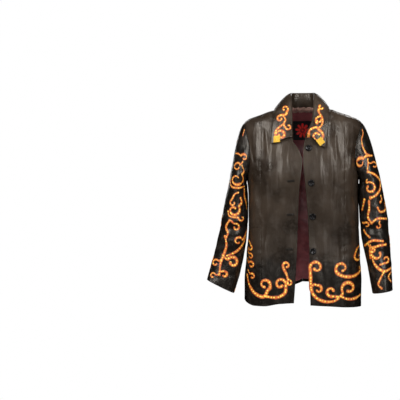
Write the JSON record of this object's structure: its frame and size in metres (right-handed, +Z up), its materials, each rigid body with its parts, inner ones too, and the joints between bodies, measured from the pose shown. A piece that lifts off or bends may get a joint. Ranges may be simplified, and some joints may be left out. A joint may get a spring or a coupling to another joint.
{
  "type": "leather jacket",
  "caption": "Hip-length leather jacket with shirt collar, button front and long sleeves, hollow as if worn open, with scrollwork and metal collar corners.",
  "frame": {"origin": "The middle of the neck opening, level with the top of the shoulder seams, where a wearer or hanger holds the jacket", "axes": "+Z up, -Y out of the front, +X to the wearer's left"},
  "size_m": [0.6718, 0.2366, 0.7865],
  "materials": {
    "leather": "semi-gloss",
    "lining": "satin",
    "button_horn": "polished",
    "gold": "polished",
    "patch": "matt"
  },
  "bodies": {
    "root": {"back_left": "leather", "back_lining": "lining", "back_right": "leather", "button_1": "button_horn", "button_2": "button_horn", "button_3": "button_horn", "button_4": "button_horn", "buttonhole_2": "leather", "buttonhole_3": "leather", "buttonhole_4": "leather", "collar": "leather", "collar_corner_left": "gold", "collar_corner_right": "gold", "front_left": "leather", "front_lining_left": "lining", "front_lining_right": "lining", "front_right": "leather", "neck_patch": "patch", "side_back_left_lower": "leather", "side_back_left_upper": "leather", "side_back_right_lower": "leather", "side_back_right_upper": "leather", "side_front_left_lower": "leather", "side_front_left_upper": "leather", "side_front_right_lower": "leather", "side_front_right_upper": "leather", "top_sleeve_left": "leather", "top_sleeve_right": "leather", "under_sleeve_left": "leather", "under_sleeve_right": "leather"}
  },
  "joints": []
}
